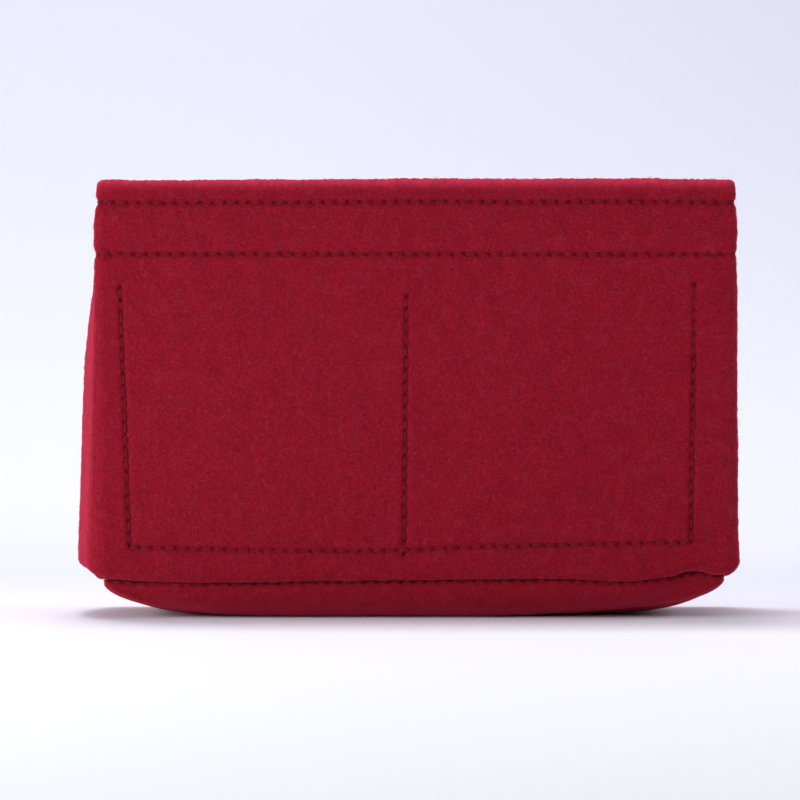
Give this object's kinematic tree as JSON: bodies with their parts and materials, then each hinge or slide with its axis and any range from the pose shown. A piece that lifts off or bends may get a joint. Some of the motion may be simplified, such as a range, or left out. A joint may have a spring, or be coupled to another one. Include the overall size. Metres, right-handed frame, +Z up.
{
  "type": "purse organizer insert",
  "caption": "Open-top felt organiser that stands inside a handbag, with a folded and double-stitched hem, bulging gussets, a soft sagging base and sewn inner pockets.",
  "frame": {"origin": "on the floor, below the middle of the whole organiser", "axes": "+X along its long walls, to the right of someone who faces the front; front towards -Y; +Z up, out of its open top"},
  "size_m": [0.2234, 0.0866, 0.1469],
  "materials": {
    "felt": "matt needled felt in crimson, with loose fibres on its surface",
    "thread": "spun sewing thread in the felt's own colour, faint sheen"
  },
  "bodies": {
    "root": {"front_panel": "felt", "back_panel": "felt", "left_gusset": "felt", "right_gusset": "felt", "base_panel": "felt", "front_pocket": "felt", "back_pocket": "felt", "upper_hem_thread": "thread", "lower_hem_thread": "thread", "upper_hem_under_thread": "thread", "lower_hem_under_thread": "thread", "base_seam_thread": "thread", "front_left_seam_thread": "thread", "front_right_seam_thread": "thread", "back_left_seam_thread": "thread", "back_right_seam_thread": "thread", "front_pocket_outline_thread": "thread", "front_pocket_outline_under_thread": "thread", "front_pocket_centre_thread": "thread", "front_pocket_centre_under_thread": "thread", "back_pocket_outline_thread": "thread", "back_pocket_outline_under_thread": "thread", "back_pocket_centre_thread": "thread", "back_pocket_centre_under_thread": "thread"}
  },
  "joints": []
}
